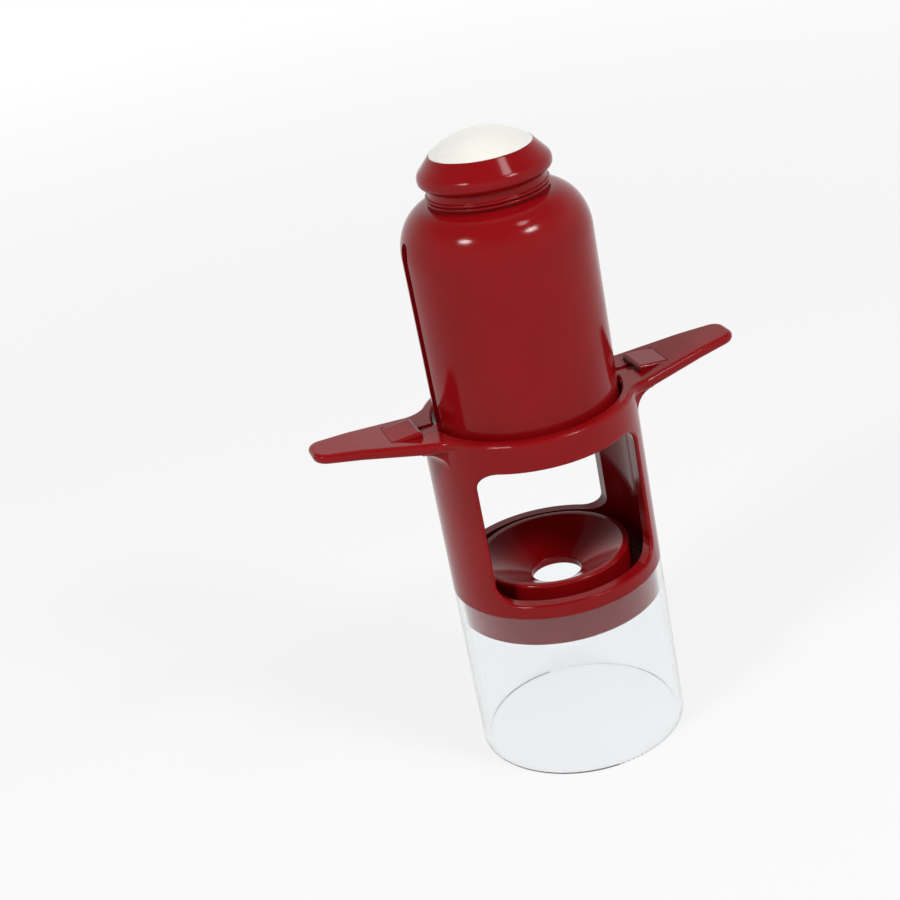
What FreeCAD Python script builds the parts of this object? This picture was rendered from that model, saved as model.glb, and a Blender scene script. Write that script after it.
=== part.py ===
import FreeCAD, Part
import math
import os
from FreeCAD import Vector

# A hand-held cherry pitter of the plunger kind, standing on its clear tube.
# Millimetres. The axis of the plunger is Z, the finger wings lie along X,
# the two fruit windows face -Y and +Y, and Z = 0 is the foot of the tube.

# Clear splash guard
GUARD_LENGTH = 39.5
GUARD_WALL = 1.35
GUARD_EDGE = 0.4

# Frame: spigot, lower ring, two posts, collar
FRAME_WALL = 2.75
SPIGOT_DEPTH = 7.0
RING_HEIGHT = 3.0
WINDOW_HEIGHT = 31.0
WINDOW_WIDTH = 35.0
WINDOW_CORNER = 4.0
WINDOW_EDGE = 0.5
COLLAR_HEIGHT = 6.5
COLLAR_EDGE = 0.9
BORE_EDGE = 0.5
LIP_WIDTH = 1.5
LIP_THICKNESS = 1.5

# Finger wings
WING_SPAN = 94.5
WING_WIDTH = 18.4
WING_TIP_WIDTH = 8.4
WING_ROOT_THICKNESS = 2.5
WING_TIP_THICKNESS = 2.0
WING_FOOT = 1.0
WING_BEND = 15.0
WING_RISE = 1.9
WING_TIP_RISE = 2.7
WING_TIP_LENGTH = 9.2
WING_TIP_BEND = 30.0
WING_TIP_CORNER = 3.2
WING_ROOT_FLARE = 6.0
WING_UNDERSIDE_FILLET = 4.0

# Seat for the fruit
SEAT_FLANGE = 1.5
SEAT_RIM_ABOVE_RING = 1.5
SEAT_RIM_WIDTH = 1.5
SEAT_RIM_EDGE = 0.5
SEAT_WALL = 1.6
DISH_DEPTH = 5.5
PIT_HOLE_RADIUS = 5.5

# Plunger shell
SHELL_RADIUS = 19.8
SHELL_DRAFT = 0.2
SHELL_WALL = 1.8
SHELL_LENGTH = 52.0
SHELL_END_EDGE = 0.5
SHOULDER_HEIGHT = 9.8
DECK_THICKNESS = 2.0
DECK_HOLE_RADIUS = 10.6
SLOT_WIDTH = 4.0
SLOT_SPARE = 1.4

# Thumb knob
NECK_RADIUS = 12.25
NECK_HEIGHT = 3.6
NECK_ROUND = 0.8
BEAD_RADIUS = 12.75
BEAD_HEIGHT = 0.6
BEAD_EDGE = 0.28
LOWER_BEAD = 0.75
UPPER_BEAD = 1.6
KNOB_RADIUS = 13.8
KNOB_UNDERSIDE = 0.7
KNOB_SIDE = 1.9
KNOB_BEVEL = 3.6
KNOB_LOWER_ROUND = 1.2
KNOB_UPPER_ROUND = 2.0
KNOB_WEB = 2.4
KNOB_WELL_DEPTH = 3.0
KNOB_WELL_RADIUS = 9.4
PLUG_LENGTH = 3.8
PLUG_WALL = 1.45
PLUG_BEAD = 0.35
PLUG_BEAD_HEIGHT = 0.9
SOCKET_DEPTH = 3.5

# White cap
CAP_RADIUS = 10.6
CAP_RISE = 3.75
CAP_EDGE = 0.5
CAP_WALL = 1.4
CAP_SKIRT_WALL = 1.3
CAP_SKIRT_DEPTH = 2.4

# Guide bridge across the collar
BRIDGE_HEIGHT = 5.1
BRIDGE_BELOW_COLLAR = 0.4
BRIDGE_END_HEIGHT = 1.2
HUB_WALL = 2.25
HUB_SKIRT_WALL = 1.8
HUB_EDGE = 0.4
HEAD_WELL_DEPTH = 5.6
HUB_SPARE = 1.0
SPRING_SEAT_RADIUS = 8.0
SPRING_SEAT_THICKNESS = 1.6
PAD_WIDTH = 9.0
PAD_LENGTH = 6.6
PAD_ABOVE_COLLAR = 1.5
PAD_SUNK = 0.8
PAD_EDGE = 0.6
PAD_FROM_COLLAR = 1.4

# Pitting rod and its screw
STEM_RADIUS = 3.0
HEAD_RADIUS = 4.0
TIP_OVERRUN = 2.4
TIP_CROSS_DEPTH = 5.0
TIP_CROSS_ARM = 1.6
TIP_EDGE = 0.4
SCREW_RADIUS = 1.45
SCREW_GRIP = 10.0
SCREW_HEAD_RADIUS = 3.2
SCREW_HEAD_HEIGHT = 1.9
SCREW_CROSS_WIDTH = 0.9
SCREW_CROSS_DEPTH = 1.1

# Return spring
WIRE = 1.0
SPRING_TURNS = 11
SPRING_GAP_TO_HUB = 0.7
END_TURN_GAP = 0.6
SPRING_END_GAP = 0.15

# Clearances
SHELL_IN_BORE = 0.45
GUARD_ON_SPIGOT = 0.05
SEAT_IN_BORE = 0.05
SEAT_TO_SHELL = 0.9
SHELL_TO_FLANGE = 1.0
BRIDGE_IN_SLOT = 0.4
BRIDGE_IN_NOTCH = 0.1
STEM_IN_HUB = 0.05
HEAD_IN_WELL = 0.4
PLUG_IN_DECK = 0.15
STEM_IN_SOCKET = 0.05
SCREW_IN_HOLE = 0.1
CAP_IN_WELL = 0.05

# Heights worked out from the sizes above
RING_BOTTOM = GUARD_LENGTH
SPIGOT_BOTTOM = RING_BOTTOM - SPIGOT_DEPTH
WINDOW_BOTTOM = RING_BOTTOM + RING_HEIGHT
WINDOW_TOP = WINDOW_BOTTOM + WINDOW_HEIGHT
COLLAR_TOP = WINDOW_TOP + COLLAR_HEIGHT
LIP_TOP = SPIGOT_BOTTOM + LIP_THICKNESS
FLANGE_TOP = LIP_TOP + SEAT_FLANGE
SEAT_RIM = WINDOW_BOTTOM + SEAT_RIM_ABOVE_RING
DISH_BOTTOM = SEAT_RIM - DISH_DEPTH
PIT_HOLE_BOTTOM = DISH_BOTTOM - SEAT_WALL
SHELL_BOTTOM = WINDOW_TOP
DECK_TOP = SHELL_BOTTOM + SHELL_LENGTH
DECK_UNDERSIDE = DECK_TOP - DECK_THICKNESS
STROKE = SHELL_BOTTOM - FLANGE_TOP - SHELL_TO_FLANGE
BRIDGE_TOP = COLLAR_TOP - BRIDGE_BELOW_COLLAR
BRIDGE_BOTTOM = BRIDGE_TOP - BRIDGE_HEIGHT
SLOT_TOP = BRIDGE_TOP + STROKE + SLOT_SPARE + SLOT_WIDTH / 2
NECK_TOP = DECK_TOP + NECK_HEIGHT
KNOB_LIP = NECK_TOP + KNOB_UNDERSIDE
KNOB_BEVEL_START = KNOB_LIP + KNOB_SIDE
KNOB_TOP = KNOB_BEVEL_START + KNOB_BEVEL
CAP_TOP = KNOB_TOP + CAP_RISE
WELL_FLOOR = KNOB_TOP - KNOB_WELL_DEPTH
WEB_UNDERSIDE = WELL_FLOOR - KNOB_WEB
HEAD_TOP = BRIDGE_BOTTOM + HEAD_WELL_DEPTH
HUB_TOP = WEB_UNDERSIDE - SOCKET_DEPTH - STROKE - HUB_SPARE
TIP_BOTTOM = PIT_HOLE_BOTTOM - TIP_OVERRUN + STROKE
SHOULDER_START = DECK_TOP - SHOULDER_HEIGHT
PLUG_BOTTOM = DECK_TOP - PLUG_LENGTH
PAD_TOP = COLLAR_TOP + PAD_ABOVE_COLLAR

# Radii worked out from the sizes above
BORE_RADIUS = SHELL_RADIUS + SHELL_IN_BORE
OUTER_RADIUS = BORE_RADIUS + FRAME_WALL
GUARD_BORE = OUTER_RADIUS - GUARD_WALL
SPIGOT_RADIUS = GUARD_BORE - GUARD_ON_SPIGOT
SHELL_END_RADIUS = SHELL_RADIUS - SHELL_DRAFT
SEAT_CUP_RADIUS = SHELL_END_RADIUS - SHELL_WALL - SEAT_TO_SHELL
HUB_BORE = STEM_RADIUS + STEM_IN_HUB
HUB_RADIUS = HUB_BORE + HUB_WALL
HEAD_WELL_RADIUS = HEAD_RADIUS + HEAD_IN_WELL
HUB_SKIRT_RADIUS = HEAD_WELL_RADIUS + HUB_SKIRT_WALL
SPRING_RADIUS = HUB_RADIUS + SPRING_GAP_TO_HUB + WIRE / 2
PLUG_RADIUS = DECK_HOLE_RADIUS - PLUG_IN_DECK
KNOB_CAVITY_RADIUS = PLUG_RADIUS - PLUG_WALL
BRIDGE_WIDTH = SLOT_WIDTH - 2 * BRIDGE_IN_SLOT
SCREW_BORE = SCREW_RADIUS + SCREW_IN_HOLE
WING_TIP = WING_SPAN / 2
PAD_START = OUTER_RADIUS + PAD_FROM_COLLAR
PAD_END = PAD_START + PAD_LENGTH
REACH = 2 * OUTER_RADIUS

# How near counts as touching, as one point, and as straight
NEAR = 0.01
SAME_POINT = 1e-6
STRAIGHT = 1e-9


def side(u, v):
    """A point of the XZ plane."""
    return Vector(u, 0, v)


def plan(u, v):
    """A point of the XY plane."""
    return Vector(u, v, 0)


def across(u, v):
    """A point of the YZ plane."""
    return Vector(0, u, v)


def corner_arc(before, corner, after, radius):
    """Start, middle and end of the arc that rounds a corner."""
    into = (corner - before).normalize()
    out = (after - corner).normalize()
    half_turn = into.getAngle(out) / 2
    run = radius * math.tan(half_turn)
    inward = (out - into).normalize()
    centre = corner + inward * (radius / math.cos(half_turn))
    return corner - into * run, centre - inward * radius, corner + out * run


def rounded_wire(place, points):
    """A closed outline through points (u, v) or (u, v, corner radius)."""
    corners = [place(p[0], p[1]) for p in points]
    stops = []
    for i, point in enumerate(points):
        if len(point) == 3:
            arc = corner_arc(corners[i - 1], corners[i], corners[(i + 1) % len(points)], point[2])
        else:
            arc = (corners[i], None, corners[i])
        stops.append(arc)
    edges = []
    for i, (start, middle, end) in enumerate(stops):
        if middle is not None:
            edges.append(Part.Arc(start, middle, end).toShape())
        following = stops[(i + 1) % len(stops)][0]
        if (following - end).Length > SAME_POINT:
            edges.append(Part.LineSegment(end, following).toShape())
    return Part.Wire(edges)


def revolved(points):
    """A solid turned about Z from an outline of (radius, height) points."""
    face = Part.Face(rounded_wire(side, points))
    return face.revolve(Vector(0, 0, 0), Vector(0, 0, 1), 360)


def prism(place, points, offset, length):
    """An outline moved by offset and extruded by length, both vectors."""
    face = Part.Face(rounded_wire(place, points))
    face.translate(offset)
    return face.extrude(length)


def box(low, high):
    """A box between two opposite corners."""
    size = high - low
    return Part.makeBox(size.x, size.y, size.z, low)


def pillar(radius, bottom, top):
    """A round solid on the axis between two heights."""
    return Part.makeCylinder(radius, top - bottom, Vector(0, 0, bottom))


def mirrored(shape):
    """The same shape on the other side of the YZ plane."""
    return shape.mirror(Vector(0, 0, 0), Vector(1, 0, 0))


def edges_where(shape, test):
    """Edges whose middle point passes the test."""
    picked = []
    for edge in shape.Edges:
        middle = edge.valueAt((edge.FirstParameter + edge.LastParameter) / 2)
        if test(middle):
            picked.append(edge)
    return picked


def wing_heights():
    """Top line of a wing as (x, z, bend) from the collar to the tip."""
    foot = OUTER_RADIUS + WING_FOOT
    bend = WING_TIP - WING_TIP_LENGTH
    return [(foot, COLLAR_TOP, WING_BEND),
            (bend, COLLAR_TOP + WING_RISE, WING_TIP_BEND),
            (WING_TIP, COLLAR_TOP + WING_TIP_RISE)]


def wing_edges(inset):
    """Plan of one wing from root flare to root flare, drawn in by inset, and where it meets the collar."""
    slant = math.atan2((WING_WIDTH - WING_TIP_WIDTH) / 2, WING_TIP - OUTER_RADIUS)
    along = plan(math.cos(slant), -math.sin(slant))
    outward = plan(math.sin(slant), math.cos(slant))
    start = plan(OUTER_RADIUS, WING_WIDTH / 2) + outward * WING_ROOT_FLARE
    back = start.dot(along)
    away = OUTER_RADIUS + WING_ROOT_FLARE
    centre = start + along * (math.sqrt(back ** 2 + away ** 2 - start.dot(start)) - back)
    inward = centre * (-1 / away)

    flare = WING_ROOT_FLARE + inset
    meets = inward * (inset - OUTER_RADIUS)
    middle = centre + (inward - outward).normalize() * flare
    leaves = centre - outward * flare
    tip = WING_TIP - inset
    end = leaves + along * ((tip - leaves.x) / along.x)
    corner = corner_arc(leaves, end, plan(tip, 0), WING_TIP_CORNER - inset)
    half = [Part.Arc(meets, middle, leaves).toShape(),
            Part.LineSegment(leaves, corner[0]).toShape(),
            Part.Arc(*corner).toShape(),
            Part.LineSegment(corner[2], plan(tip, 0)).toShape()]
    return half + [edge.mirror(Vector(0, 0, 0), Vector(0, 1, 0)) for edge in half], meets


def rim_outline(inset):
    """Plan of the collar with both wings, drawn in by inset all round."""
    edges, meets = wing_edges(inset)
    collar = OUTER_RADIUS - inset
    u, v = meets.x, meets.y
    back = Part.Arc(plan(u, v), plan(0, collar), plan(-u, v)).toShape()
    front = Part.Arc(plan(u, -v), plan(0, -collar), plan(-u, -v)).toShape()
    edges += [mirrored(edge) for edge in edges] + [back, front]
    return Part.Face(Part.Wire(Part.__sortEdges__(edges)))


def make_rim():
    """The collar's top plate and the two finger wings that rise from it."""
    foot, bend, tip = wing_heights()
    middle_thickness = (WING_ROOT_THICKNESS + WING_TIP_THICKNESS) / 2
    top = [foot, bend, tip]
    bottom = [(tip[0], tip[1] - WING_TIP_THICKNESS),
              (bend[0], bend[1] - middle_thickness, WING_TIP_BEND),
              (foot[0], foot[1] - WING_ROOT_THICKNESS, WING_BEND)]
    right = top + bottom
    left = [(-p[0], *p[1:]) for p in reversed(right)]
    blade = prism(side, right + left, Vector(0, -REACH, 0), Vector(0, 2 * REACH, 0))
    rim = blade.common(rim_outline(0).extrude(Vector(0, 0, REACH + COLLAR_TOP)))

    def on_rim(m):
        return abs(m.y) > NEAR or abs(m.x) > WING_TIP - NEAR
    edges = [e for e in edges_where(rim, on_rim) if e.BoundBox.XLength + e.BoundBox.YLength > NEAR]
    rim = rim.makeFillet(COLLAR_EDGE, edges)

    gusset_top = COLLAR_TOP - WING_ROOT_THICKNESS
    fillet = WING_UNDERSIDE_FILLET
    gusset = revolved([(BORE_RADIUS, gusset_top - fillet),
                       (OUTER_RADIUS, gusset_top - fillet),
                       (OUTER_RADIUS, gusset_top, fillet),
                       (OUTER_RADIUS + fillet, gusset_top),
                       (OUTER_RADIUS + fillet, gusset_top + COLLAR_EDGE),
                       (BORE_RADIUS, gusset_top + COLLAR_EDGE)])
    below = rim_outline(COLLAR_EDGE).extrude(Vector(0, 0, COLLAR_TOP))
    return rim.fuse(gusset.common(below))


def pad_end_height():
    """Height of the wing where a bridge pad runs out."""
    foot, bend, tip = wing_heights()
    return foot[1] + (PAD_END - foot[0]) * (bend[1] - foot[1]) / (bend[0] - foot[0])


def make_pad(spare):
    """The wedge at the bridge's end, or the pocket for it when spare is added round it."""
    end_height = pad_end_height()
    drop = spare * (end_height - COLLAR_TOP) / PAD_LENGTH
    half = PAD_WIDTH / 2 + spare
    high = spare * REACH
    return prism(side, [(PAD_START - spare, COLLAR_TOP - PAD_SUNK - drop),
                        (PAD_END + spare, end_height - PAD_SUNK + drop),
                        (PAD_END + spare, end_height + high),
                        (PAD_START - spare, PAD_TOP + high)],
                 Vector(0, -half, 0), Vector(0, 2 * half, 0))


def make_barrel():
    """The frame's round body with its two fruit windows."""
    barrel = revolved([(BORE_RADIUS - LIP_WIDTH, SPIGOT_BOTTOM),
                       (SPIGOT_RADIUS, SPIGOT_BOTTOM, BORE_EDGE),
                       (SPIGOT_RADIUS, RING_BOTTOM),
                       (OUTER_RADIUS, RING_BOTTOM),
                       (OUTER_RADIUS, COLLAR_TOP - COLLAR_EDGE),
                       (BORE_RADIUS - LIP_WIDTH, COLLAR_TOP - COLLAR_EDGE)])
    half = WINDOW_WIDTH / 2
    windows = prism(side, [(-half, WINDOW_BOTTOM, WINDOW_CORNER),
                           (half, WINDOW_BOTTOM, WINDOW_CORNER),
                           (half, WINDOW_TOP, WINDOW_CORNER),
                           (-half, WINDOW_TOP, WINDOW_CORNER)],
                    Vector(0, -REACH, 0), Vector(0, 2 * REACH, 0))
    barrel = barrel.cut(windows)

    def on_window(m):
        outside = abs(math.hypot(m.x, m.y) - OUTER_RADIUS) < NEAR
        return outside and abs(m.x) < half + NEAR and WINDOW_BOTTOM - NEAR < m.z < WINDOW_TOP + NEAR
    return barrel.makeFillet(WINDOW_EDGE, edges_where(barrel, on_window))


def make_frame():
    """Collar, wings, posts, lower ring and the spigot that carries the tube."""
    body = make_barrel().fuse(make_rim())
    bore = revolved([(0, LIP_TOP),
                     (BORE_RADIUS, LIP_TOP),
                     (BORE_RADIUS, COLLAR_TOP - BORE_EDGE),
                     (BORE_RADIUS + BORE_EDGE, COLLAR_TOP),
                     (BORE_RADIUS + BORE_EDGE, COLLAR_TOP + REACH),
                     (0, COLLAR_TOP + REACH)])
    pocket = make_pad(BRIDGE_IN_NOTCH)
    notch_end = PAD_START + BRIDGE_IN_NOTCH + BRIDGE_WIDTH / 2
    half = BRIDGE_WIDTH / 2 + BRIDGE_IN_NOTCH
    notch = box(Vector(-notch_end, -half, BRIDGE_TOP - BRIDGE_END_HEIGHT),
                Vector(notch_end, half, COLLAR_TOP + REACH))
    return body.cut([bore, pocket, mirrored(pocket), notch]).removeSplitter()


def make_seat():
    """The raised dish that holds the fruit over the hole for the pit."""
    inside = SEAT_CUP_RADIUS - SEAT_WALL
    rim = SEAT_CUP_RADIUS - SEAT_RIM_WIDTH
    slope = DISH_DEPTH / (rim - PIT_HOLE_RADIUS)
    return revolved([(inside, LIP_TOP),
                     (BORE_RADIUS - SEAT_IN_BORE, LIP_TOP),
                     (BORE_RADIUS - SEAT_IN_BORE, FLANGE_TOP),
                     (SEAT_CUP_RADIUS, FLANGE_TOP),
                     (SEAT_CUP_RADIUS, SEAT_RIM, SEAT_RIM_EDGE),
                     (rim, SEAT_RIM, SEAT_RIM_EDGE),
                     (PIT_HOLE_RADIUS, DISH_BOTTOM, SEAT_RIM_EDGE),
                     (PIT_HOLE_RADIUS, PIT_HOLE_BOTTOM),
                     (inside, PIT_HOLE_BOTTOM + slope * (inside - PIT_HOLE_RADIUS))])


def make_guard():
    """The clear open tube that slips over the spigot."""
    return revolved([(GUARD_BORE, 0, GUARD_EDGE),
                     (OUTER_RADIUS, 0, GUARD_EDGE),
                     (OUTER_RADIUS, GUARD_LENGTH),
                     (GUARD_BORE, GUARD_LENGTH)])


def make_bridge():
    """Crossbar through the shell's slots, with the hub that guides the rod."""
    seat_bottom = BRIDGE_TOP - SPRING_SEAT_THICKNESS
    hub = revolved([(0, BRIDGE_BOTTOM),
                    (HUB_SKIRT_RADIUS, BRIDGE_BOTTOM, HUB_EDGE),
                    (HUB_SKIRT_RADIUS, seat_bottom),
                    (SPRING_SEAT_RADIUS, seat_bottom),
                    (SPRING_SEAT_RADIUS, BRIDGE_TOP, HUB_EDGE),
                    (HUB_RADIUS, BRIDGE_TOP),
                    (HUB_RADIUS, HUB_TOP, HUB_EDGE),
                    (0, HUB_TOP)])
    half = BRIDGE_WIDTH / 2
    inside = BORE_RADIUS - BRIDGE_IN_NOTCH
    bar = box(Vector(-inside, -half, BRIDGE_BOTTOM), Vector(inside, half, BRIDGE_TOP))
    reach = PAD_START + half
    ends = box(Vector(-reach, -half, BRIDGE_TOP - BRIDGE_END_HEIGHT), Vector(reach, half, BRIDGE_TOP))
    pad = make_pad(0)

    slope = (pad_end_height() - PAD_TOP) / PAD_LENGTH

    def on_pad_top(m):
        return m.x < PAD_END - NEAR and m.z > PAD_TOP + slope * (m.x - PAD_START) - NEAR
    pad = pad.makeFillet(PAD_EDGE, edges_where(pad, on_pad_top))
    bridge = hub.fuse([bar, ends, pad, mirrored(pad)])
    hole = pillar(HUB_BORE, BRIDGE_BOTTOM, HUB_TOP)
    well = pillar(HEAD_WELL_RADIUS, BRIDGE_BOTTOM, HEAD_TOP)
    return bridge.cut([hole, well]).removeSplitter()


def domed(end_radius, radius, bottom, shoulder, top, top_radius):
    """A round solid with a flat top and a quarter-ellipse shoulder."""
    quarter = 4 * (math.sqrt(2) - 1) / 3
    curve = Part.BezierCurve()
    curve.setPoles([side(radius, shoulder),
                    side(radius, shoulder + quarter * (top - shoulder)),
                    side(top_radius + quarter * (radius - top_radius), top),
                    side(top_radius, top)])
    edges = [Part.LineSegment(side(0, bottom), side(end_radius, bottom)).toShape(),
             Part.LineSegment(side(end_radius, bottom), side(radius, shoulder)).toShape(),
             curve.toShape(),
             Part.LineSegment(side(top_radius, top), side(0, top)).toShape(),
             Part.LineSegment(side(0, top), side(0, bottom)).toShape()]
    return Part.Face(Part.Wire(edges)).revolve(Vector(0, 0, 0), Vector(0, 0, 1), 360)


def make_shell():
    """The slotted skirt that closes round the fruit."""
    outer = domed(SHELL_END_RADIUS, SHELL_RADIUS, SHELL_BOTTOM, SHOULDER_START, DECK_TOP, NECK_RADIUS)

    def at_lower_end(m):
        return m.z < SHELL_BOTTOM + NEAR and math.hypot(m.x, m.y) > SHELL_END_RADIUS - NEAR
    outer = outer.makeFillet(SHELL_END_EDGE, edges_where(outer, at_lower_end))
    inner = domed(SHELL_END_RADIUS - SHELL_WALL, SHELL_RADIUS - SHELL_WALL, SHELL_BOTTOM,
                  SHOULDER_START, DECK_UNDERSIDE, NECK_RADIUS - DECK_THICKNESS / 2)
    half = SLOT_WIDTH / 2
    slots = prism(across, [(-half, SHELL_BOTTOM - SLOT_WIDTH),
                           (half, SHELL_BOTTOM - SLOT_WIDTH),
                           (half, SLOT_TOP, half),
                           (-half, SLOT_TOP, half)],
                  Vector(-REACH, 0, 0), Vector(2 * REACH, 0, 0))
    hole = pillar(DECK_HOLE_RADIUS, SHELL_BOTTOM, DECK_TOP)
    return outer.cut([inner, slots, hole])


def bead_outline(middle):
    """Outline of one thin ridge round the neck."""
    bottom = DECK_TOP + middle - BEAD_HEIGHT / 2
    top = bottom + BEAD_HEIGHT
    return [(NECK_RADIUS, bottom),
            (BEAD_RADIUS, bottom, BEAD_EDGE),
            (BEAD_RADIUS, top, BEAD_EDGE),
            (NECK_RADIUS, top)]


def make_knob():
    """The thumb knob, plugged into the shell's deck."""
    catch_top = DECK_UNDERSIDE - PLUG_IN_DECK
    catch = PLUG_RADIUS + PLUG_BEAD
    socket = STEM_RADIUS + STEM_IN_SOCKET
    socket_bottom = WEB_UNDERSIDE - SOCKET_DEPTH
    ledge = CAP_RADIUS + CAP_IN_WELL
    return revolved([(KNOB_CAVITY_RADIUS, PLUG_BOTTOM),
                     (PLUG_RADIUS, PLUG_BOTTOM),
                     (catch, catch_top - PLUG_BEAD_HEIGHT),
                     (catch, catch_top),
                     (PLUG_RADIUS, catch_top),
                     (PLUG_RADIUS, DECK_TOP),
                     (NECK_RADIUS, DECK_TOP),
                     *bead_outline(LOWER_BEAD),
                     *bead_outline(UPPER_BEAD),
                     (NECK_RADIUS, NECK_TOP, NECK_ROUND),
                     (KNOB_RADIUS, KNOB_LIP, KNOB_LOWER_ROUND),
                     (KNOB_RADIUS, KNOB_BEVEL_START, KNOB_UPPER_ROUND),
                     (ledge, KNOB_TOP),
                     (ledge, KNOB_TOP - CAP_EDGE),
                     (KNOB_WELL_RADIUS, KNOB_TOP - CAP_EDGE),
                     (KNOB_WELL_RADIUS, WELL_FLOOR),
                     (SCREW_BORE, WELL_FLOOR),
                     (SCREW_BORE, WEB_UNDERSIDE),
                     (socket, WEB_UNDERSIDE),
                     (socket, socket_bottom),
                     (HUB_RADIUS, socket_bottom),
                     (HUB_RADIUS, WEB_UNDERSIDE),
                     (KNOB_CAVITY_RADIUS, WEB_UNDERSIDE)])


def make_cap():
    """The white domed cap that covers the screw."""
    ball = (CAP_RADIUS ** 2 + CAP_RISE ** 2) / (2 * CAP_RISE)
    centre = CAP_TOP - ball
    skirt = KNOB_WELL_RADIUS - CAP_IN_WELL
    bore = skirt - CAP_SKIRT_WALL
    inner_ball = ball - CAP_WALL

    def dome_arc(radius, reach):
        turn = math.asin(reach / radius)
        rim = side(reach, centre + radius * math.cos(turn))
        middle = side(radius * math.sin(turn / 2), centre + radius * math.cos(turn / 2))
        return rim, Part.Arc(rim, middle, side(0, centre + radius)).toShape()
    rim, outer = dome_arc(ball, CAP_RADIUS)
    inner_rim, inner = dome_arc(inner_ball, bore)
    edge_bottom = KNOB_TOP - CAP_EDGE
    skirt_bottom = KNOB_TOP - CAP_SKIRT_DEPTH
    edges = [outer,
             Part.LineSegment(side(0, CAP_TOP), side(0, CAP_TOP - CAP_WALL)).toShape(),
             inner,
             Part.LineSegment(inner_rim, side(bore, skirt_bottom)).toShape(),
             Part.LineSegment(side(bore, skirt_bottom), side(skirt, skirt_bottom)).toShape(),
             Part.LineSegment(side(skirt, skirt_bottom), side(skirt, edge_bottom)).toShape(),
             Part.LineSegment(side(skirt, edge_bottom), side(CAP_RADIUS, edge_bottom)).toShape(),
             Part.LineSegment(side(CAP_RADIUS, edge_bottom), rim).toShape()]
    wire = Part.Wire(Part.__sortEdges__(edges))
    return Part.Face(wire).revolve(Vector(0, 0, 0), Vector(0, 0, 1), 360)


def make_rod():
    """The pitting rod: a stem through the hub and a cross-cut head."""
    rod = revolved([(0, TIP_BOTTOM),
                    (HEAD_RADIUS, TIP_BOTTOM, TIP_EDGE),
                    (HEAD_RADIUS, HEAD_TOP),
                    (STEM_RADIUS, HEAD_TOP),
                    (STEM_RADIUS, WEB_UNDERSIDE),
                    (0, WEB_UNDERSIDE)])
    cross_top = TIP_BOTTOM + TIP_CROSS_DEPTH
    half = TIP_CROSS_ARM / 2
    arms = box(Vector(-HEAD_RADIUS, -half, TIP_BOTTOM), Vector(HEAD_RADIUS, half, cross_top))
    arms = arms.fuse(box(Vector(-half, -HEAD_RADIUS, TIP_BOTTOM), Vector(half, HEAD_RADIUS, cross_top)))
    waste = pillar(HEAD_RADIUS + TIP_EDGE, TIP_BOTTOM, cross_top).cut(arms)
    hole = pillar(SCREW_BORE, WEB_UNDERSIDE - SCREW_GRIP - SCREW_RADIUS, WEB_UNDERSIDE)
    return rod.cut([waste, hole])


def make_screw():
    """The screw that draws the knob down onto the rod."""
    head_top = WELL_FLOOR + SCREW_HEAD_HEIGHT
    end = WEB_UNDERSIDE - SCREW_GRIP
    screw = revolved([(0, end),
                      (SCREW_RADIUS / 2, end),
                      (SCREW_RADIUS, end + SCREW_RADIUS),
                      (SCREW_RADIUS, WELL_FLOOR),
                      (SCREW_HEAD_RADIUS, WELL_FLOOR),
                      (SCREW_HEAD_RADIUS, head_top, SCREW_HEAD_HEIGHT / 2),
                      (0, head_top)])
    reach = SCREW_HEAD_RADIUS - SCREW_CROSS_WIDTH
    half = SCREW_CROSS_WIDTH / 2
    floor = head_top - SCREW_CROSS_DEPTH
    cross = box(Vector(-reach, -half, floor), Vector(reach, half, head_top))
    cross = cross.fuse(box(Vector(-half, -reach, floor), Vector(half, reach, head_top)))
    return screw.cut(cross)


def tangent_arc(start, tangent, end):
    """The arc from start, leaving along tangent, that passes through end."""
    chord = end - start
    along = Vector(chord).normalize()
    bulge = tangent - along * tangent.dot(along)
    if bulge.Length < STRAIGHT:
        return Part.LineSegment(start, end)
    sagitta = chord.Length / 2 * math.tan(tangent.getAngle(chord) / 2)
    return Part.Arc(start, (start + end) / 2 + bulge.normalize() * sagitta, end)


def biarc(start, leaving, end, arriving):
    """Two arcs that join smoothly between two points with given directions."""
    v = end - start
    t = leaving + arriving
    fall = 2 * (1 - leaving.dot(arriving))
    reach = (-v.dot(t) + math.sqrt(v.dot(t) ** 2 + fall * v.dot(v))) / fall
    joint = (start + leaving * reach + end - arriving * reach) / 2
    first = tangent_arc(start, leaving, joint)
    back = tangent_arc(end, arriving * -1, joint)
    return [first.toShape(), back.toShape()]


def spring_path():
    """Centre line of the return spring, as points and directions at each quarter turn."""
    bottom = BRIDGE_TOP + SPRING_END_GAP + WIRE / 2
    top = WEB_UNDERSIDE - SPRING_END_GAP - WIRE / 2
    end_rise = (WIRE + END_TURN_GAP) / 4
    middle_rise = (top - bottom - 8 * end_rise) / (4 * (SPRING_TURNS - 2))
    rises = [end_rise] * 4 + [middle_rise] * (4 * (SPRING_TURNS - 2)) + [end_rise] * 4
    points, directions = [], []
    height = bottom
    for i in range(len(rises) + 1):
        turn = i * math.pi / 2
        points.append(Vector(SPRING_RADIUS * math.cos(turn), SPRING_RADIUS * math.sin(turn), height))
        before = rises[i - 1] if i > 0 else 0
        after = rises[i] if i < len(rises) else 0
        climb = (before + after) / math.pi
        direction = Vector(-SPRING_RADIUS * math.sin(turn), SPRING_RADIUS * math.cos(turn), climb)
        directions.append(direction.normalize())
        height += after
    return points, directions


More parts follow.
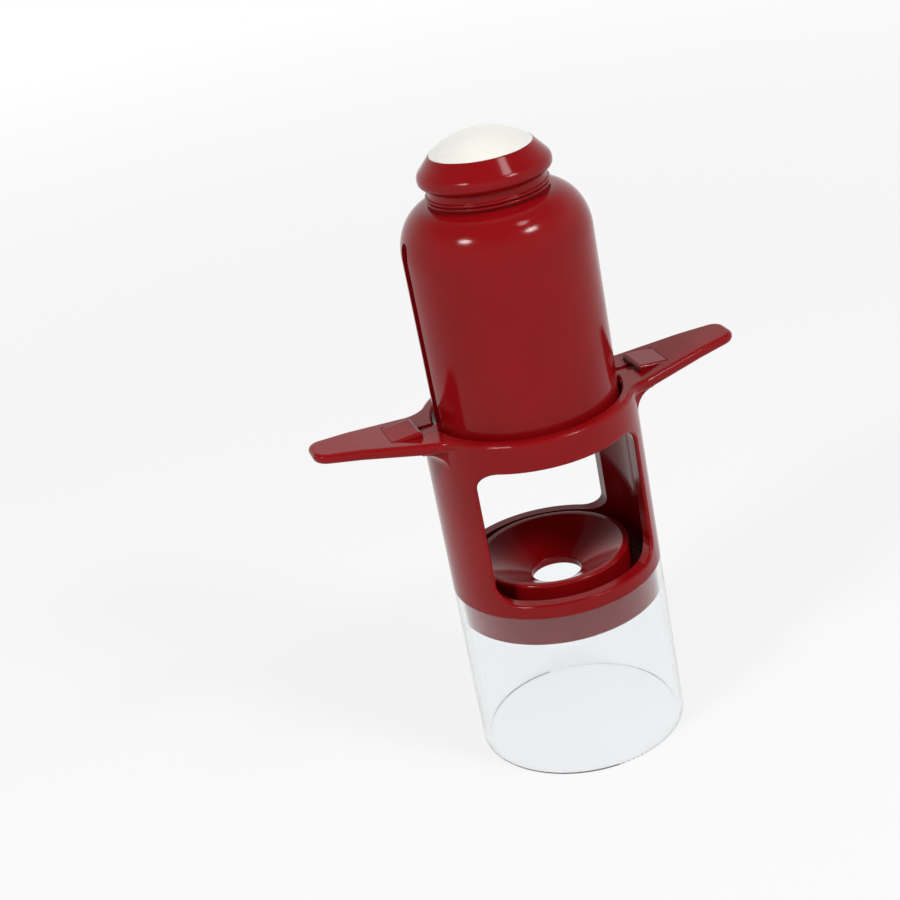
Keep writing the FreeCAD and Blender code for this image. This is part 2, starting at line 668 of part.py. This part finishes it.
def make_spring():
    """The helical return spring between the hub's seat and the knob's web."""
    points, directions = spring_path()
    first = points[0] - directions[0] * WIRE
    last = points[-1] + directions[-1] * WIRE
    edges = [Part.LineSegment(first, points[0]).toShape()]
    for i in range(len(points) - 1):
        edges += biarc(points[i], directions[i], points[i + 1], directions[i + 1])
    edges.append(Part.LineSegment(points[-1], last).toShape())
    path = Part.Wire(edges)
    section = Part.Wire(Part.makeCircle(WIRE / 2, first, directions[0]))
    spring = path.makePipeShell([section], True, False)
    print("spring: least gap to itself", round(least_gap(path), 3))
    print("spring: volume", round(spring.Volume, 2), "of",
          round(math.pi * WIRE ** 2 / 4 * path.Length, 2))
    return spring


def least_gap(path):
    """Least space between two turns of a wound wire, from points along it."""
    step = WIRE / 2
    samples = path.discretize(Distance=step)
    apart = int(math.pi * SPRING_RADIUS / step)
    least = REACH
    for i, a in enumerate(samples):
        for b in samples[i + apart:i + 4 * apart]:
            least = min(least, (a - b).Length)
    return least - WIRE


NODES = {
    "frame": make_frame,
    "cherry_seat": make_seat,
    "splash_guard": make_guard,
    "guide_bridge": make_bridge,
    "plunger_shell": make_shell,
    "thumb_knob": make_knob,
    "knob_cap": make_cap,
    "pitting_rod": make_rod,
    "rod_screw": make_screw,
    "return_spring": make_spring,
}

os.makedirs("parts", exist_ok=True)
for name, make in NODES.items():
    shape = make()
    shape.exportStep("parts/" + name + ".step")
    print(name, "valid", shape.isValid(), "solids", len(shape.Solids), "volume", round(shape.Volume, 1))
print("stroke", round(STROKE, 3), "height", round(CAP_TOP, 3))
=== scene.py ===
import math

import bpy
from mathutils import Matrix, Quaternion, Vector


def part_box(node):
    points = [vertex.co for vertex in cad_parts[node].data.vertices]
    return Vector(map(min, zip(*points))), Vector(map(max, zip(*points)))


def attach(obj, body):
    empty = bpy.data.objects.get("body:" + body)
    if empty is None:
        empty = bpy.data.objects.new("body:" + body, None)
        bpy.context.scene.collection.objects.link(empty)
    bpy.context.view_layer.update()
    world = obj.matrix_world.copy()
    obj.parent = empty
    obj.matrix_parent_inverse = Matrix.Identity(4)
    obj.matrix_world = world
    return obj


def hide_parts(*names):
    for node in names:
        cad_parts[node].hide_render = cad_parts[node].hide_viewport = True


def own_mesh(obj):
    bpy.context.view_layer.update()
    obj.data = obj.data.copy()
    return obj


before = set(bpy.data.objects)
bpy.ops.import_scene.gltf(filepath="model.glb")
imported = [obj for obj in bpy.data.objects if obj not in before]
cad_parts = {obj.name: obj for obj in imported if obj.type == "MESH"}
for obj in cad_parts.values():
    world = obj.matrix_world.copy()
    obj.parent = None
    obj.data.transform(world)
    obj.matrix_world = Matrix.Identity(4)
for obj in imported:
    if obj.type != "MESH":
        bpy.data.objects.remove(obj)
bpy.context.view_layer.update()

# A plunger cherry pitter in glossy red plastic with a white cap and a clear tube.
# Metres. The CAD pieces keep their shapes and get their finish here; the return
# spring is wound again as a piece of its own.

# Camera
IMAGE_PIXELS = 900
FOCAL_PIXELS = 1850
SENSOR_WIDTH_MM = 36.0
CAMERA_PLACE = Vector((-0.0995, -0.3454, 0.2334))
CAMERA_LOOKS_AT = Vector((-0.0183, 0.0, 0.0736))
CAMERA_ROLL = math.radians(-11.43)
NEAREST_SEEN = 0.01
FARTHEST_SEEN = 100.0

# Lamps: name, azimuth and elevation in degrees, width, height, power in watts, distance
LAMP_TARGET = Vector((0.0, 0.0, 0.08))
LAMP_DISTANCE = 0.8
OVERHEAD_DISTANCE = 1.0
LAMPS = (
    ("left_softbox", -62, 43, 0.17, 0.10, 2.5, LAMP_DISTANCE),
    ("right_softbox", 35, 42, 0.19, 0.11, 2.4, LAMP_DISTANCE),
    ("upper_window", 41, 61, 0.14, 0.12, 0.6, LAMP_DISTANCE),
    ("overhead", 160, 70, 0.8, 0.8, 0.6, OVERHEAD_DISTANCE),
)

# Room: how bright the fill, the walls and the ceiling are, and the heights of a unit
# direction between which the walls turn to ceiling
WORLD_FILL = 0.27
WALLS = 1.0
CEILING = 0.3
WALLS_END = 0.3
CEILING_START = 0.75
WHITE = (1.0, 1.0, 1.0, 1.0)

# Floor: near the object it glows in part, and so keeps the shadow; between the two
# reaches it turns to plain white
FLOOR_SIZE = 8.0
FLOOR_COLOUR = (0.9, 0.9, 0.9, 1.0)
FLOOR_GLOW = 0.78
SHADOW_REACH = 0.25
FADE_REACH = 0.9

# Plastic: the depths of its waves and its skin, the shares by which smears change its
# roughness, and what a hairline adds where its noise is in the highest range
PLASTIC_IOR = 1.5
MOULDING_WAVES = 0.00012
SKIN_GRAIN = 0.000004
SMEARED = (0.8, 1.3)
HAIRLINE_ROUGHNESS = 0.05
HAIRLINE_RANGE = (0.62, 0.8)
BEVEL_SAMPLES = 4

# Clear tube
TUBE_IOR = 1.49
TUBE_WAVES = 0.0001
TUBE_HAZE = (0.02, 0.07)
TUBE_TINTS = (0.95, 0.97, 0.985, 1.0), (0.97, 0.985, 1.0, 1.0)

# Steel
STEEL_TONES = (0.5, 0.5, 0.51, 1.0), (0.72, 0.71, 0.7, 1.0)
STEEL_LINES = 0.00001
STEEL_ROUGHNESS = (0.18, 0.34)
LINES_ALONG_SCREW = (1.0, 1.0, 0.05)
LINES_ROUND_SPRING = (0.2, 0.2, 1.0)

# Return spring
WIRE = 0.001
END_TURN_PITCH = 0.0016
SPRING_TURNS = 11
RINGS_PER_TURN = 40
RING_POINTS = 14

# Sockets of Blender's Mix node, which repeats their names for each kind of value
MIX_SHARE = 0
FLOAT_FIRST, FLOAT_SECOND, FLOAT_RESULT = 2, 3, 0
COLOUR_FIRST, COLOUR_SECOND, COLOUR_RESULT = 6, 7, 2


def srgb(red, green, blue):
    """A colour given as 0 to 255 on a screen, in the linear values that shaders take."""
    def linear(value):
        share = value / 255
        if share <= 0.04045:
            return share / 12.92
        return ((share + 0.055) / 1.055) ** 2.4
    return (linear(red), linear(green), linear(blue), 1.0)


class Nodes:
    """A short way to write a node tree."""

    def __init__(self, tree):
        self.tree = tree
        tree.nodes.clear()

    def add(self, kind, settings=None, **inputs):
        """Adds a node. An input's name has an underscore for each space."""
        node = self.tree.nodes.new(kind)
        for name, value in (settings or {}).items():
            setattr(node, name, value)
        for name, value in inputs.items():
            self.feed(node.inputs[name.replace("_", " ")], value)
        return node

    def feed(self, socket, value):
        if isinstance(value, bpy.types.NodeSocket):
            self.tree.links.new(value, socket)
        else:
            socket.default_value = value

    def noise(self, scale, detail=3.0, stretch=(1.0, 1.0, 1.0)):
        place = self.add("ShaderNodeTexCoord").outputs["Object"]
        mapped = self.add("ShaderNodeMapping", Vector=place, Scale=stretch).outputs["Vector"]
        return self.add("ShaderNodeTexNoise", Vector=mapped, Scale=scale, Detail=detail).outputs["Fac"]

    def spread(self, value, low, high, start=0.3, end=0.7):
        """Maps a value from start..end to low..high. A noise lies mostly between 0.3 and 0.7."""
        node = self.add("ShaderNodeMapRange", Value=value,
                        From_Min=start, From_Max=end, To_Min=low, To_Max=high)
        return node.outputs["Result"]

    def calculate(self, operation, first, second):
        node = self.add("ShaderNodeMath", {"operation": operation})
        self.feed(node.inputs[0], first)
        self.feed(node.inputs[1], second)
        return node.outputs[0]

    def mixed_colours(self, share, first, second):
        node = self.add("ShaderNodeMix", {"data_type": "RGBA"})
        self.feed(node.inputs[MIX_SHARE], share)
        self.feed(node.inputs[COLOUR_FIRST], first)
        self.feed(node.inputs[COLOUR_SECOND], second)
        return node.outputs[COLOUR_RESULT]

    def mixed_numbers(self, share, first, second):
        node = self.add("ShaderNodeMix", {"data_type": "FLOAT"})
        self.feed(node.inputs[MIX_SHARE], share)
        self.feed(node.inputs[FLOAT_FIRST], first)
        self.feed(node.inputs[FLOAT_SECOND], second)
        return node.outputs[FLOAT_RESULT]

    def bump(self, height, distance, strength, normal=None):
        node = self.add("ShaderNodeBump", Height=height, Distance=distance, Strength=strength)
        if normal is not None:
            self.feed(node.inputs["Normal"], normal)
        return node.outputs["Normal"]

    def surface(self, **inputs):
        """The shader of the whole surface, and the output that it goes to."""
        shader = self.add("ShaderNodeBsdfPrincipled", **inputs)
        self.add("ShaderNodeOutputMaterial", Surface=shader.outputs["BSDF"])


def make_material(name):
    material = bpy.data.materials.new(name)
    material.use_nodes = True
    return material, Nodes(material.node_tree)


def moulded_plastic(name, deep, bright, roughness, sheen, edge_radius):
    """Glossy injection-moulded plastic: faint clouds of colour, slow waviness and fine handling marks."""
    material, n = make_material(name)
    clouds = n.noise(scale=70.0, detail=2.0)
    colour = n.mixed_colours(n.spread(clouds, 0.0, 1.0), deep, bright)
    smears = n.noise(scale=180.0, detail=4.0, stretch=(1.0, 1.0, 0.25))
    smeared = n.spread(smears, *(roughness * share for share in SMEARED))
    hairlines = n.noise(scale=1400.0, detail=2.0, stretch=(1.0, 1.0, 0.03))
    marked = n.spread(hairlines, 0.0, HAIRLINE_ROUGHNESS, *HAIRLINE_RANGE)
    rounded = n.add("ShaderNodeBevel", {"samples": BEVEL_SAMPLES}, Radius=edge_radius).outputs["Normal"]
    waves = n.bump(n.noise(scale=110.0, detail=1.0), MOULDING_WAVES, strength=0.35, normal=rounded)
    skin = n.bump(n.noise(scale=2600.0, detail=2.0), SKIN_GRAIN, strength=0.5, normal=waves)
    n.surface(Base_Color=colour, Roughness=n.calculate("ADD", smeared, marked), Normal=skin,
              IOR=PLASTIC_IOR, Specular_IOR_Level=sheen)
    return material


def clear_plastic(name):
    """Clear tube with faint moulding waves and a few handling marks."""
    material, n = make_material(name)
    waves = n.bump(n.noise(scale=60.0, detail=1.0, stretch=(1.0, 1.0, 0.4)), TUBE_WAVES, strength=0.3)
    haze = n.spread(n.noise(scale=240.0, detail=4.0), *TUBE_HAZE)
    tint = n.mixed_colours(n.spread(n.noise(scale=40.0), 0.0, 1.0), *TUBE_TINTS)
    n.surface(Base_Color=tint, Roughness=haze, Normal=waves, IOR=TUBE_IOR, Transmission_Weight=1.0)
    return material


def steel(name, stretch):
    """Bright drawn steel with fine lines along its length."""
    material, n = make_material(name)
    lines = n.noise(scale=3000.0, detail=3.0, stretch=stretch)
    tone = n.mixed_colours(lines, *STEEL_TONES)
    gloss = n.spread(lines, *STEEL_ROUGHNESS)
    grooves = n.bump(lines, STEEL_LINES, strength=0.4)
    n.surface(Base_Color=tone, Roughness=gloss, Normal=grooves, Metallic=1.0)
    return material


def seen_directly(n):
    """1 for rays from the camera, a mirror or through glass, 0 for light that falls on the object."""
    path = n.add("ShaderNodeLightPath")
    total = path.outputs["Is Camera Ray"]
    for name in ("Is Glossy Ray", "Is Transmission Ray"):
        total = n.calculate("MAXIMUM", total, path.outputs[name])
    return total


def make_world():
    """White walls all round under a dimmer ceiling, and an even fill for the light itself."""
    world = bpy.data.worlds.new("studio")
    world.use_nodes = True
    bpy.context.scene.world = world
    n = Nodes(world.node_tree)
    way = n.add("ShaderNodeTexCoord").outputs["Generated"]
    upward = n.add("ShaderNodeSeparateXYZ", Vector=way).outputs["Z"]
    room = n.spread(upward, WALLS, CEILING, WALLS_END, CEILING_START)
    strength = n.mixed_numbers(seen_directly(n), WORLD_FILL, room)
    background = n.add("ShaderNodeBackground", Color=WHITE, Strength=strength)
    n.add("ShaderNodeOutputWorld", Surface=background.outputs["Background"])


def floor_material():
    """Pale and matt, so that it takes the object's shadow, and seen as plain white further out."""
    material, n = make_material("pale_floor")
    matt = n.add("ShaderNodeBsdfDiffuse", Color=FLOOR_COLOUR)
    glow = n.add("ShaderNodeEmission", Color=WHITE, Strength=1.0)
    place = n.add("ShaderNodeTexCoord").outputs["Object"]
    distance = n.add("ShaderNodeVectorMath", {"operation": "LENGTH"})
    n.feed(distance.inputs[0], place)
    white = n.spread(distance.outputs["Value"], FLOOR_GLOW, 1.0, SHADOW_REACH, FADE_REACH)
    both = n.add("ShaderNodeMixShader", Fac=n.calculate("MULTIPLY", seen_directly(n), white))
    n.feed(both.inputs[1], matt.outputs["BSDF"])
    n.feed(both.inputs[2], glow.outputs["Emission"])
    n.add("ShaderNodeOutputMaterial", Surface=both.outputs["Shader"])
    return material


def make_floor():
    half = FLOOR_SIZE / 2
    mesh = bpy.data.meshes.new("floor")
    corners = [(-half, -half, 0.0), (half, -half, 0.0), (half, half, 0.0), (-half, half, 0.0)]
    mesh.from_pydata(corners, [], [(0, 1, 2, 3)])
    floor = bpy.data.objects.new("floor", mesh)
    bpy.context.scene.collection.objects.link(floor)
    mesh.materials.append(floor_material())


def direction(azimuth, elevation):
    """Unit vector towards an azimuth (0 is in front, at -Y, 90 at +X) and an elevation, in degrees."""
    a, e = math.radians(azimuth), math.radians(elevation)
    return Vector((math.sin(a) * math.cos(e), -math.cos(a) * math.cos(e), math.sin(e)))


def make_lamp(name, azimuth, elevation, width, height, power, distance):
    """A soft oval lamp that faces the object."""
    light = bpy.data.lights.new(name, "AREA")
    light.shape = "ELLIPSE"
    light.size = width
    light.size_y = height
    light.energy = power
    lamp = bpy.data.objects.new(name, light)
    towards = direction(azimuth, elevation)
    lamp.location = LAMP_TARGET + towards * distance
    lamp.rotation_mode = "QUATERNION"
    lamp.rotation_quaternion = towards.to_track_quat("Z", "Y")
    bpy.context.scene.collection.objects.link(lamp)


def make_camera():
    data = bpy.data.cameras.new("camera")
    data.sensor_width = SENSOR_WIDTH_MM
    data.lens = SENSOR_WIDTH_MM * FOCAL_PIXELS / IMAGE_PIXELS
    data.clip_start = NEAREST_SEEN
    data.clip_end = FARTHEST_SEEN
    camera = bpy.data.objects.new("camera", data)
    bpy.context.scene.collection.objects.link(camera)
    camera.location = CAMERA_PLACE
    away = CAMERA_PLACE - CAMERA_LOOKS_AT
    camera.rotation_mode = "QUATERNION"
    camera.rotation_quaternion = away.to_track_quat("Z", "Y") @ Quaternion((0, 0, 1), CAMERA_ROLL)
    bpy.context.scene.camera = camera


def spring_line():
    """Points along the spring's wire: close end turns and an even pitch between them."""
    low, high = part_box("return_spring")
    radius = (high.x - low.x) / 2 - WIRE / 2
    bottom = low.z + WIRE / 2
    top = high.z - WIRE / 2
    pitch = (top - bottom - 2 * END_TURN_PITCH) / (SPRING_TURNS - 2)
    points = []
    height = bottom
    for i in range(SPRING_TURNS * RINGS_PER_TURN + 1):
        turn = i / RINGS_PER_TURN
        angle = turn * math.tau
        points.append(Vector((radius * math.cos(angle), radius * math.sin(angle), height)))
        close = turn < 1 or turn >= SPRING_TURNS - 1
        height += (END_TURN_PITCH if close else pitch) / RINGS_PER_TURN
    return points


def rings_round(line):
    """A ring of points across the wire at each point of its line."""
    verts = []
    last = len(line) - 1
    for i, centre in enumerate(line):
        along = (line[min(i + 1, last)] - line[max(i - 1, 0)]).normalized()
        outward = Vector((centre.x, centre.y, 0.0)).normalized()
        upward = along.cross(outward).normalized()
        for k in range(RING_POINTS):
            a = k * math.tau / RING_POINTS
            verts.append(centre + (outward * math.cos(a) + upward * math.sin(a)) * WIRE / 2)
    return verts


def faces_between(last):
    """The faces that join each ring to the next, up to ring number last, and close both ends."""
    faces = []
    for i in range(last):
        for k in range(RING_POINTS):
            here = i * RING_POINTS
            there = here + RING_POINTS
            following = (k + 1) % RING_POINTS
            faces.append((here + k, there + k, there + following, here + following))
    faces.append(tuple(range(RING_POINTS)))
    faces.append(tuple(reversed(range(last * RING_POINTS, (last + 1) * RING_POINTS))))
    return faces


def make_spring():
    """The wound wire of the return spring, one tube with closed ends."""
    line = spring_line()
    mesh = bpy.data.meshes.new("spring_wire")
    mesh.from_pydata(rings_round(line), [], faces_between(len(line) - 1))
    mesh.shade_smooth()
    mesh.validate()
    spring = bpy.data.objects.new("spring_wire", mesh)
    bpy.context.scene.collection.objects.link(spring)
    return spring


def dress(names, material):
    """Gives CAD nodes their finish."""
    for name in names:
        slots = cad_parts[name].data.materials
        slots.clear()
        slots.append(material)


bpy.context.scene.view_settings.view_transform = "Standard"
make_camera()
make_world()
make_floor()
for lamp_values in LAMPS:
    make_lamp(*lamp_values)

red = moulded_plastic("red_plastic", deep=srgb(136, 9, 14), bright=srgb(144, 11, 17),
                      roughness=0.13, sheen=0.16, edge_radius=0.00025)
white = moulded_plastic("white_plastic", deep=srgb(240, 238, 229), bright=srgb(243, 241, 234),
                        roughness=0.22, sheen=0.4, edge_radius=0.0001)
dress(["frame", "cherry_seat", "guide_bridge", "plunger_shell", "thumb_knob", "pitting_rod"], red)
dress(["knob_cap"], white)
dress(["splash_guard"], clear_plastic("clear_plastic"))
dress(["rod_screw"], steel("screw_steel", LINES_ALONG_SCREW))

spring = make_spring()
spring.data.materials.append(steel("spring_steel", LINES_ROUND_SPRING))
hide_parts("return_spring")
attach(spring, "frame")
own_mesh(spring)
